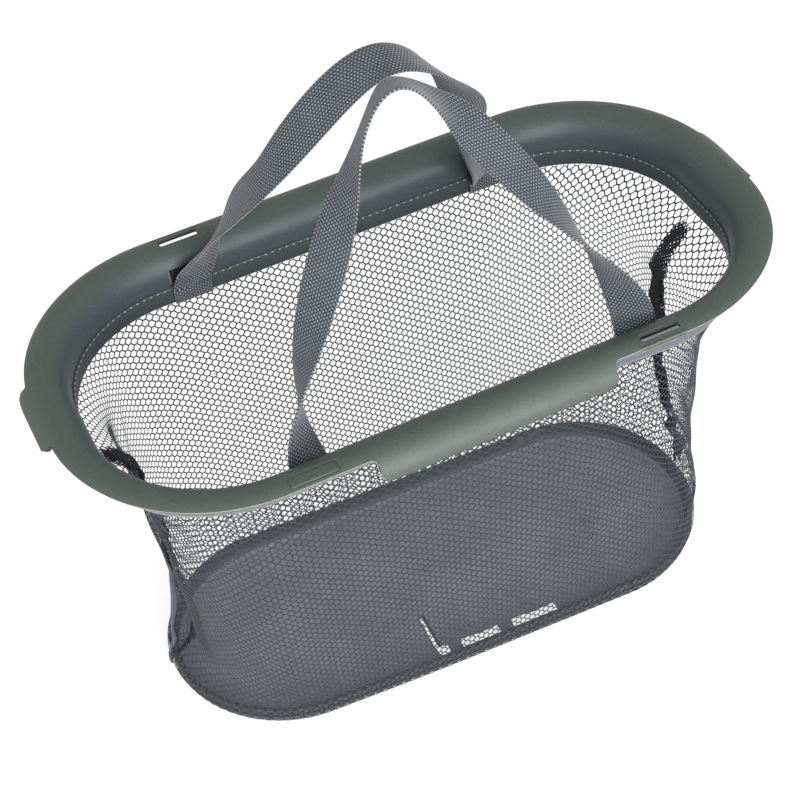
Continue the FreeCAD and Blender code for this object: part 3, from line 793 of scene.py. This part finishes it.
# the fold of webbing behind each window lies against the felt and shows as a dark pocket; its dark
# colour is painted shade
backing = dict(width=strapWidth + 1 * mm, low=9 * mm, high=26 * mm, thickness=0.8 * mm,
               depth=roll["foam"] + roll["felt"] + 0.25 * mm)
for k, place in enumerate(windowPlaces):
    patch = rimPatch("windowBacking" + str(k),
                     place + np.linspace(-0.5, 0.5, 12) * backing["width"],
                     np.linspace(backing["low"], backing["high"], 16),
                     backing["depth"], backing["thickness"], paintedShadeWebbing)

# through the front lip slot the wall's outside shows: above, webbing painted almost black as the
# shade there; below, a turned flap of felt. For each: its stretch across the section and its depth
# below the visible face
slotBehind = dict(width=34 * mm, shift=3 * mm, thickness=0.6 * mm, layers=[
    ("slotWebbing", slotShadeWebbing, "handle_webbing", 20.0 * mm, 27.0 * mm, 4.2 * mm),
    ("slotFelt", feltBacking, "felt_backing", 8.0 * mm, 19.8 * mm, 4.6 * mm)])
for name, material, slotName, low, high, depth in slotBehind["layers"]:
    along = slotPlaces[0] + np.linspace(-0.5, 0.5, 14) * slotBehind["width"]
    patch = rimPatch(name, along + slotBehind["shift"], np.linspace(low, high, 10), depth,
                     slotBehind["thickness"], material)

print("mesh body")
# knotless mesh: a centred rectangular lattice of rounded holes, cut flat and then laid on the
# basket's shape. Its top edge is held in the rim wall, between the foam and the facing band.
net = dict(alongPitch=7.5 * mm, upPitch=5.4 * mm, strand=0.95 * mm, thickness=0.5 * mm,
           clear=0.6 * mm, waist=3 * mm, sewn=0.8 * mm, topOut=1.5 * mm, gather=19 * mm,
           gatherReach=60 * mm, seamRound=7 * mm, pinchReach=90 * mm)
foot = dict(radius=8 * mm, sweep=math.radians(70))
tray = dict(halfLength=trayHigh.x, halfWidth=trayHigh.y, radius=trayHigh.y - 1 * mm,
            height=trayHigh.z)
# the seams at the two ends are shorter than the mesh beside them and pull it inwards: by so many
# mm at each tenth of the height, fading round the end (reach on the back and the front panel). A
# pinch is one crease lying round the end: its height, how deep it is, and how wide
ends = [
    dict(sign=1, reach=(150 * mm, 160 * mm),
         pull=[0, 0.5, 3.5, 11, 14.8, 19.5, 20, 23, 24.4, 23.5, 0],
        pinches=[(52 * mm, 5 * mm, 6 * mm), (40 * mm, -1.5 * mm, 5 * mm)]),
    dict(sign=-1, reach=(90 * mm, 100 * mm),
         pull=[0, 17, 20.5, 21, 21.5, 21, 23, 21.8, 20.5, 19, 0], pinches=[])]
# soft folds on the back and the front panel: place, slope and width (shares of the panel), depth
# in mm, and the middle and spread of the heights where each one shows
slackFolds = (
    [(0.15, 0.04, 0.020, -2.0, 0.5, 0.35), (0.215, 0.03, 0.030, 1.5, 0.5, 0.35),
     (0.89, -0.02, 0.020, 1.6, 0.4, 0.25), (0.865, -0.24, 0.012, -1.8, 0.75, 0.14)],
    [(0.115, 0.03, 0.020, 1.8, 0.5, 0.35), (0.175, 0.03, 0.030, -1.4, 0.5, 0.35),
     (0.895, -0.05, 0.015, 1.5, 0.5, 0.35), (0.82, -0.08, 0.020, -1.6, 0.5, 0.35),
     (0.73, -0.10, 0.030, 1.2, 0.5, 0.35)])
footRun = (foot["radius"] + net["clear"]) * foot["sweep"]
wallRun = tray["height"] - foot["radius"]
bodyRun = math.hypot(wallBottom - tray["height"],
                     wall["halfWidth"] + net["topOut"] - tray["halfWidth"] - net["clear"])
panelHeight = footRun + wallRun + bodyRun + net["sewn"]
panelLength = 2 * quarterOf(wall["halfLength"] + net["topOut"], wall["halfWidth"] + net["topOut"],
                            wall["radius"] + net["topOut"])


# the soft base has turned a little under the rim and lifted at its front left; the mesh follows
# in proportion to its depth below the rim
settled = dict(turn=math.radians(-2.3), shift=(-1.0 * mm, 0.6 * mm), lift=8.8 * mm)


def settle(points):
    # turned about the centre, moved, and lifted at the corner, each times the share of the depth
    x, y, z = points[..., 0], points[..., 1], points[..., 2]
    share = 1 - np.clip((z - tray["height"]) / (wallBottom - tray["height"]), 0, 1)
    angle = settled["turn"] * share
    corner = np.clip(-x / tray["halfLength"], 0, 1) ** 2
    corner = corner * np.clip((0.5 * tray["halfWidth"] - y) / (1.5 * tray["halfWidth"]), 0, 1)
    return np.stack([x * np.cos(angle) - y * np.sin(angle) + settled["shift"][0] * share,
                     x * np.sin(angle) + y * np.cos(angle) + settled["shift"][1] * share,
                     z + settled["lift"] * corner * share], -1)


def netShape(share, up, side):
    # point of the mesh body: share runs 0..1 from the right seam to the left one along the back
    # (side 1) or front (side -1) panel, up is the distance from the panel's lower edge
    footAngle = np.clip((footRun - up) / (foot["radius"] + net["clear"]), 0, None)
    inset = (foot["radius"] + net["clear"]) * (1 - np.cos(footAngle))
    climbed = np.clip(up - footRun - wallRun, 0, None)
    rise = np.clip(climbed / bodyRun, 0, 1)
    height = np.where(up < footRun,
                      foot["radius"] - (foot["radius"] + net["clear"]) * np.sin(footAngle),
                      foot["radius"] + np.clip(up - footRun, 0, wallRun))
    height = height + rise * (wallBottom - tray["height"]) + np.clip(climbed - bodyRun, 0, None)
    bow = net["waist"] * (1 - share) * np.sin(math.pi * rise)

    def between(low, high):
        return (low + net["clear"]) * (1 - rise) + (high + net["topOut"]) * rise - inset - bow

    halfLength = between(tray["halfLength"], wall["halfLength"])
    halfWidth = between(tray["halfWidth"], wall["halfWidth"])
    radius = between(tray["radius"], wall["radius"])
    quarter = quarterOf(halfLength, halfWidth, radius)
    x, y, nx, ny = ringPoint(share * 2 * quarter, halfLength, halfWidth, radius)
    for end in ends:
        distance = np.abs(share - (0 if end["sign"] > 0 else 1)) * 2 * quarter
        distance = np.hypot(distance, net["seamRound"]) - net["seamRound"]
        pull = splineThrough(np.array(end["pull"])[:, None], np.ravel(rise))[:, 0] * mm
        fade = np.clip(1 - distance / end["reach"][0 if side > 0 else 1], 0, 1)
        x = x - end["sign"] * np.maximum(pull, 0).reshape(np.shape(rise)) * fade
        for middle, depth, spread in end["pinches"]:
            crease = depth * np.exp(-((height - middle) / spread) ** 2)
            x = x - end["sign"] * crease * np.clip(1 - distance / net["pinchReach"], 0, 1)
    ripple = netRipple(share, rise, side)
    hung = np.stack([x + ripple * nx, (y + ripple * ny) * side, height], -1)
    return settle(leanIn(hung, rise ** 2))


# how far the slack cloth sways everywhere, and the ruffles: how deep and where
slack = dict(sway=0.5 * mm, ruffle=1.1 * mm, ruffleShare=(0.62, 0.8), ruffleRise=(0.5, 0.75))


def netRipple(share, rise, side):
    # slack cloth gathers into soft folds beside the end seams and sags a little between; the
    # front panel is also gathered in small level ruffles under the lip at its left
    fade = np.sin(math.pi * np.clip(rise, 0, 1)) ** 0.7
    folds = 0.0
    for place, slope, width, depth, middle, spread in slackFolds[0 if side > 0 else 1]:
        line = np.exp(-((share - place - slope * (rise - middle)) / width) ** 2)
        folds = folds + depth * mm * line * np.exp(-((rise - middle) / spread) ** 2)
    sway = slack["sway"] * np.sin(share * 37 + rise * 9) * np.sin(rise * 7 + share * 11)
    if side < 0:
        gathered = smooth(share, *slack["ruffleShare"]) * smooth(rise, *slack["ruffleRise"])
        sway = sway + slack["ruffle"] * gathered * np.sin(rise * 78 + 5 * np.sin(share * 23))
    return fade * (folds + sway)


firstRow = 0.3 * mm  # of the holes' middles, above the lower edge


def latticePiece(name, cloth, length, height, lay, handed, material):
    # every hole is a hexagon of six strands; strands have a lozenge section with ridges on both
    # faces, so each hole adds six side points, and two knots with a front and a back point each
    # ax and by are half the pitch along and up; knots stand far from a hole's middle, the other
    # four corners near it
    ax, by = cloth["alongPitch"] / 2, cloth["upPitch"] / 2
    near, far = (ax * ax - by * by) / (2 * ax), (ax * ax + by * by) / (2 * ax)
    columns, rowsUp = int(length / ax) + 3, int(height / (2 * by)) + 3
    i, j = np.meshgrid(np.arange(columns), np.arange(rowsUp), indexing="ij")
    odd = i % 2
    cx = (i - 1) * ax + 0.5 * (length - (columns - 3) * ax)
    cy = (j - 1) * 2 * by + odd * by + firstRow
    centre = np.stack([cx, cy], -1)
    knots = np.stack([centre + [far, 0], centre - [far, 0]], 2)
    corners = np.array([(far, 0), (near, by), (-near, by), (-far, 0), (-near, -by), (near, -by)])
    # half a strand, measured slantwise along the line from the middle to each corner
    pull = cloth["strand"] / 2 * np.array([1.25, 1.2, 1.2, 1.25, 1.2, 1.2])
    sides = centre[:, :, None] + (corners - unit(corners) * pull[:, None])
    cell = np.arange(columns * rowsUp).reshape(columns, rowsUp)
    inner = (i >= 1) & (i <= columns - 2) & (j >= 1) & (j <= rowsUp - 2)
    inner &= (cy > by * 0.6) & (cy < height - by * 0.2)
    inner &= (cx > ax * 0.5) & (cx < length - ax * 0.5)
    ii, jj = i[inner], j[inner]
    up, down = jj + odd[inner], jj + odd[inner] - 1
    mine = cell[ii, jj]
    rightUp, rightDown = cell[ii + 1, up], cell[ii + 1, down]
    leftUp, leftDown = cell[ii - 1, up], cell[ii - 1, down]
    # knot numbers: 2 * cell for its right knot and 2 * cell + 1 for its left knot
    ring = np.stack([2 * mine, 2 * rightUp + 1, 2 * leftUp, 2 * mine + 1, 2 * leftDown,
                     2 * rightDown + 1], -1)
    flatKnots, flatSides = knots.reshape(-1, 2), sides.reshape(-1, 2)
    half = cloth["thickness"] / 2
    points = np.concatenate([lay(flatKnots, half), lay(flatKnots, -half), lay(flatSides, 0.0)])
    backKnot, sideStart = len(flatKnots), 2 * len(flatKnots)
    sideRing = sideStart + mine[:, None] * 6 + np.arange(6)
    nextRing, nextSide = np.roll(ring, -1, 1), np.roll(sideRing, -1, 1)
    front = np.stack([sideRing, nextSide, nextRing, ring], -1).reshape(-1, 4)
    back = np.stack([ring + backKnot, nextRing + backKnot, nextSide, sideRing],
                    -1).reshape(-1, 4)
    used, quads = np.unique(np.concatenate([front, back]), return_inverse=True)
    points, quads = points[used], quads.reshape(-1, 4)
    piece = newPiece(name, points, quads[:, ::-1] if handed > 0 else quads, material=material)
    a, b, c, d = [points[quads[:, k]] for k in range(4)]
    surface = (np.linalg.norm(np.cross(b - a, c - a), axis=1).sum()
               + np.linalg.norm(np.cross(c - a, d - a), axis=1).sum()) / 2
    print(" ", name, "faces", len(quads), "surface", round(float(surface), 4))
    return piece, float(surface)


def panelLay(side):
    # a place on the flat panel, from the right seam and from the lower edge, becomes a point of
    # the hung mesh moved outwards by the lift; beside the seams the cloth is gathered upwards
    def lay(flat, lift):
        share = np.clip(flat[:, 0] / panelLength, 0, 1)
        up = np.clip(flat[:, 1], 0, panelHeight)
        fromSeam = panelLength * np.minimum(share, 1 - share)
        gathered = net["gather"] * np.exp(-(fromSeam / net["gatherReach"]) ** 2)
        up = up + gathered * np.sin(math.pi * up / panelHeight)
        step = 0.4 * mm
        alongStep = netShape(share + step / panelLength, up, side) - netShape(
            share - step / panelLength, up, side)
        upStep = (netShape(share, np.minimum(up + step, panelHeight), side)
                  - netShape(share, np.maximum(up - step, 0), side))
        return netShape(share, up, side) + lift * side * unit(np.cross(alongStep, upStep))
    return lay


def foldWithRim(piece):
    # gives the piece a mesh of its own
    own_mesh(piece)


for which, side in (("front", -1), ("back", 1)):
    piece, surface = latticePiece(which + "MeshPanel", net, panelLength, panelHeight,
                                  panelLay(side), side, meshYarn)
    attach(piece, "base")
    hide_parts(which + "_mesh_panel")
    foldWithRim(piece)

print("seam tapes")
# knitted binding: a close lattice of thick yarn, gathered along the seam. It starts narrow and is
# wider towards the top; its edges wave, and it stands off the mesh by its own crumples
tape = dict(alongPitch=3.2 * mm, upPitch=2.5 * mm, strand=1.25 * mm, thickness=1.1 * mm,
            width=14 * mm, low=footRun + wallRun + 3 * mm, high=panelHeight - 7 * mm,
            shortLow=footRun + wallRun + 88 * mm, standOff=1.6 * mm, crumple=0.8 * mm,
            narrow=0.66, widens=(0.55, 0.8), taper=(-12 * mm, 24 * mm), sway=0.8 * mm)


def seamLay(end, out, low):
    # a place on the flat tape becomes its distance across the seam and its height up the mesh; the
    # tape stands off the mesh along the trap's length
    def lay(flat, lift):
        up = low + flat[:, 1]
        grown = smooth(up / panelHeight, *tape["widens"])
        across = flat[:, 0] - tape["width"] / 2
        across = across * (tape["narrow"] + (1 - tape["narrow"]) * grown)
        across = across * smooth(flat[:, 1], *tape["taper"])
        y = across * (1 + 0.16 * np.sin(up / (5.3 * mm)) + 0.10 * np.sin(up / (2.9 * mm) + 1))
        y = y + tape["sway"] * np.sin(up / (9 * mm))
        share = np.abs(y) / panelLength
        place = netShape(share if end > 0 else 1 - share, up, 1)
        middle = netShape(np.full_like(share, 0.0 if end > 0 else 1.0), up, 1)
        crumple = tape["crumple"] * np.sin(up / (2.6 * mm) + across / (2.2 * mm))
        crumple = crumple * np.sin(up / (7.1 * mm) - across / (4.0 * mm))
        return np.stack([place[:, 0] + end * (out + lift + crumple), middle[:, 1] + y,
                         place[:, 2]], -1)
    return lay


for end in (1, -1):
    name = "right" if end > 0 else "left"
    for inward, out in (("inner", -tape["standOff"]), ("outer", tape["standOff"])):
        low = tape["shortLow"] if end < 0 < out else tape["low"]  # the hem strip ends there
        strip, surface = latticePiece(
            name + inward.capitalize() + "SeamTape", tape, tape["width"],
            tape["high"] - low, seamLay(end, out, low), end, bindingTape)
        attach(strip, "base")
        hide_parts(name + "_" + inward + "_seam_tape")
        foldWithRim(strip)

print("hem strip")
# a smooth foam strip stands on the mesh beside the left seam, from the tray up; its outer edge
# waves. At evenly spaced heights: mm beyond the tray's end, and how wide it stands
hem = dict(y=8.5 * mm, low=1 * mm, high=98 * mm, thickness=1.5 * mm, wave=0.6 * mm,
           outer=[2.5, 2.0, -2.2, -3.3, -4.2, -5.7, -7.5, -9.2, -10.5, -11.7, -13.2],
           width=[1.2, 3.9, 3.1, 1.9, 1.9, 3.3, 4.4, 3.9, 3.4, 4.1, 1.5])
t = np.linspace(0, 1, 70)
outer, width = splineThrough(np.array([hem["outer"], hem["width"]]).T, t).T * mm
inner = np.linspace(0, 1, 5)
x = -tray["halfLength"] - outer[:, None] + width[:, None] * inner[None]
y = hem["y"] + hem["wave"] * np.sin(t * 9)[:, None] + 0 * x
z = hem["low"] + (hem["high"] - hem["low"]) * t[:, None] + 0 * x
hemPiece = gridPiece("hemStrip", settle(np.stack([x, y, z], -1)), z[:, 0], inner * 4 * mm,
                     material=hemFoam)
thicken(hemPiece, hem["thickness"], 0.0)
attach(hemPiece, "base")
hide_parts("left_hem_strip")
foldWithRim(hemPiece)

print("tray")


# the slots by the tray's front edge gape: their back edge has drawn back, more so at the
# underside, and the long leg of the third slot closes there
gape = dict(front=-tray["halfWidth"] + 11.5 * mm, width=2.5 * mm, fades=9 * mm,
            fromX=-30 * mm, toX=63 * mm, top=6 * mm, above=4.0 * mm, below=6.5 * mm,
            underside=1 * mm, legX=-25.5 * mm, legHalf=3 * mm, legFrom=4 * mm, legTo=-30 * mm,
            legShare=0.4)


def gapeSlots(points):
    x, y, z = points.T
    near = (x > gape["fromX"]) & (x < gape["toX"]) & (z < gape["top"])
    marks = gape["front"] + np.cumsum([0, gape["width"], gape["fades"]])
    under = z < gape["underside"]
    drawn = np.interp(y, marks, [0, 1, 0]) * np.where(under, gape["below"], gape["above"])
    y = np.where(near, y + drawn, y)
    leg = (np.abs(x - gape["legX"]) < gape["legHalf"]) & under
    leg &= (y > gape["front"] + gape["legFrom"]) & (y < gape["legTo"])
    closed = gape["legX"] + (x - gape["legX"]) * gape["legShare"]
    return np.stack([np.where(leg, closed, x), y, z], -1)


def settledCopy(name, node, material):
    # the model's own shape, cut into strips so that it can bend, then settled like the mesh. Its uv
    # is the place along the tray and the height, both before it settled
    shape = bmesh.new()
    shape.from_mesh(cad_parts[node].data)
    bmesh.ops.remove_doubles(shape, verts=shape.verts, dist=1e-6)
    for normal, half in (((1, 0, 0), tray["halfLength"]), ((0, 1, 0), tray["halfWidth"])):
        for cut in np.arange(-half + 10 * mm, half - 5 * mm, 13 * mm):
            bmesh.ops.bisect_plane(shape, geom=shape.verts[:] + shape.edges[:] + shape.faces[:],
                                   plane_co=[float(cut) * n for n in normal], plane_no=normal)
    mesh = bpy.data.meshes.new(name)
    shape.to_mesh(mesh)
    shape.free()
    points = np.empty(len(mesh.vertices) * 3, np.float32)
    mesh.vertices.foreach_get("co", points)
    points = points.reshape(-1, 3)
    corners = np.empty(len(mesh.loops), np.int32)
    mesh.loops.foreach_get("vertex_index", corners)
    layer = mesh.uv_layers.new(name="surface")
    layer.data.foreach_set("uv", points[corners][:, [0, 2]].ravel())
    points = settle(gapeSlots(points))
    mesh.vertices.foreach_set("co", points.astype(np.float32).ravel())
    mesh.polygons.foreach_set("use_smooth", np.ones(len(mesh.polygons), bool))
    mesh.update()
    mesh.set_sharp_from_angle(angle=math.radians(35))
    mesh.materials.clear()
    mesh.materials.append(material)
    piece = bpy.data.objects.new(name, mesh)
    scene.collection.objects.link(piece)
    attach(piece, "base")
    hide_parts(node)


settledCopy("mouldedTray", "base_tray", trayFoam)
settledCopy("trayLining", "base_lining", floorFelt)
settledCopy("traySeamThread", "base_seam_thread", darkThread)

print("camera, light and floor")
view = dict(place=(-0.29216, -0.75976, 0.97421), azimuth=20.306, elevation=44.645, roll=-7.374,
            lens=82.57)
az, el, tilt = [math.radians(view[k]) for k in ("azimuth", "elevation", "roll")]
forward = Vector((math.sin(az) * math.cos(el), math.cos(az) * math.cos(el), -math.sin(el)))
right = forward.cross(Vector((0, 0, 1))).normalized()
upward = right.cross(forward)
cameraRight = right * math.cos(tilt) + upward * math.sin(tilt)
cameraUp = upward * math.cos(tilt) - right * math.sin(tilt)
cameraData = bpy.data.cameras.new("studioCamera")
camera = bpy.data.objects.new("studioCamera", cameraData)
scene.collection.objects.link(camera)
turn = Matrix((cameraRight, cameraUp, -forward)).transposed().to_4x4()
camera.matrix_world = Matrix.Translation(Vector(view["place"])) @ turn
cameraData.lens = view["lens"]
cameraData.sensor_width = 36.0
cameraData.clip_start = 0.05
scene.camera = camera


def areaLight(name, place, size, power):
    data = bpy.data.lights.new(name, "AREA")
    data.shape = "RECTANGLE"
    data.size, data.size_y = size
    data.energy = power
    lamp = bpy.data.objects.new(name, data)
    scene.collection.objects.link(lamp)
    lamp.location = place
    lamp.rotation_euler = (Vector((0, 0, 0.2)) - Vector(place)).to_track_quat("-Z", "Y").to_euler()
    return lamp


areaLight("softboxFront", (-0.1, -2.0, 1.9), (1.6, 1.0), 40)
areaLight("softboxLow", (0.1, -2.3, 0.75), (1.6, 0.8), 53)
areaLight("softboxLeft", (-2.0, -0.3, 1.3), (1.0, 1.4), 14)

world = bpy.data.worlds.new("studioWorld")
scene.world = world
world.use_nodes = True
tree = world.node_tree
tree.nodes.clear()
rays = addNode(tree, "LightPath").outputs
seen = addNode(tree, "Math", rays["Is Camera Ray"], rays["Is Glossy Ray"], operation="MAXIMUM")
seen = addNode(tree, "Math", seen, rays["Is Transmission Ray"], operation="MAXIMUM")
soft = addNode(tree, "Background", (1, 1, 1, 1), 0.52)
white = addNode(tree, "Background", (1, 1, 1, 1), 1.0)
addNode(tree, "OutputWorld", addNode(tree, "MixShader", seen, soft, white))

floorMaterial, tree, shader = newMaterial("paleFloor", "#f4f4f4", 0.9)
rays = addNode(tree, "LightPath").outputs
seen = addNode(tree, "Math", rays["Is Camera Ray"], rays["Is Glossy Ray"], operation="MAXIMUM")
setInputs(tree, shader, {
    "Base Color": addNode(tree, "Mix", {0: seen, 6: "#d8d8d8", 7: "#b4b4b4"}, data_type="RGBA"),
    "Emission Color": (1, 1, 1, 1), "Specular IOR Level": 0.0,
    "Emission Strength": addNode(tree, "Math", seen, 0.64, operation="MULTIPLY")})
across = np.linspace(-6, 6, 3)
gx, gy = np.meshgrid(across, across, indexing="ij")
floor = gridPiece("studioFloor", np.stack([gx, gy, np.full_like(gx, -0.0004)], -1), across, across,
                  material=floorMaterial)

scene.view_settings.view_transform = "Standard"
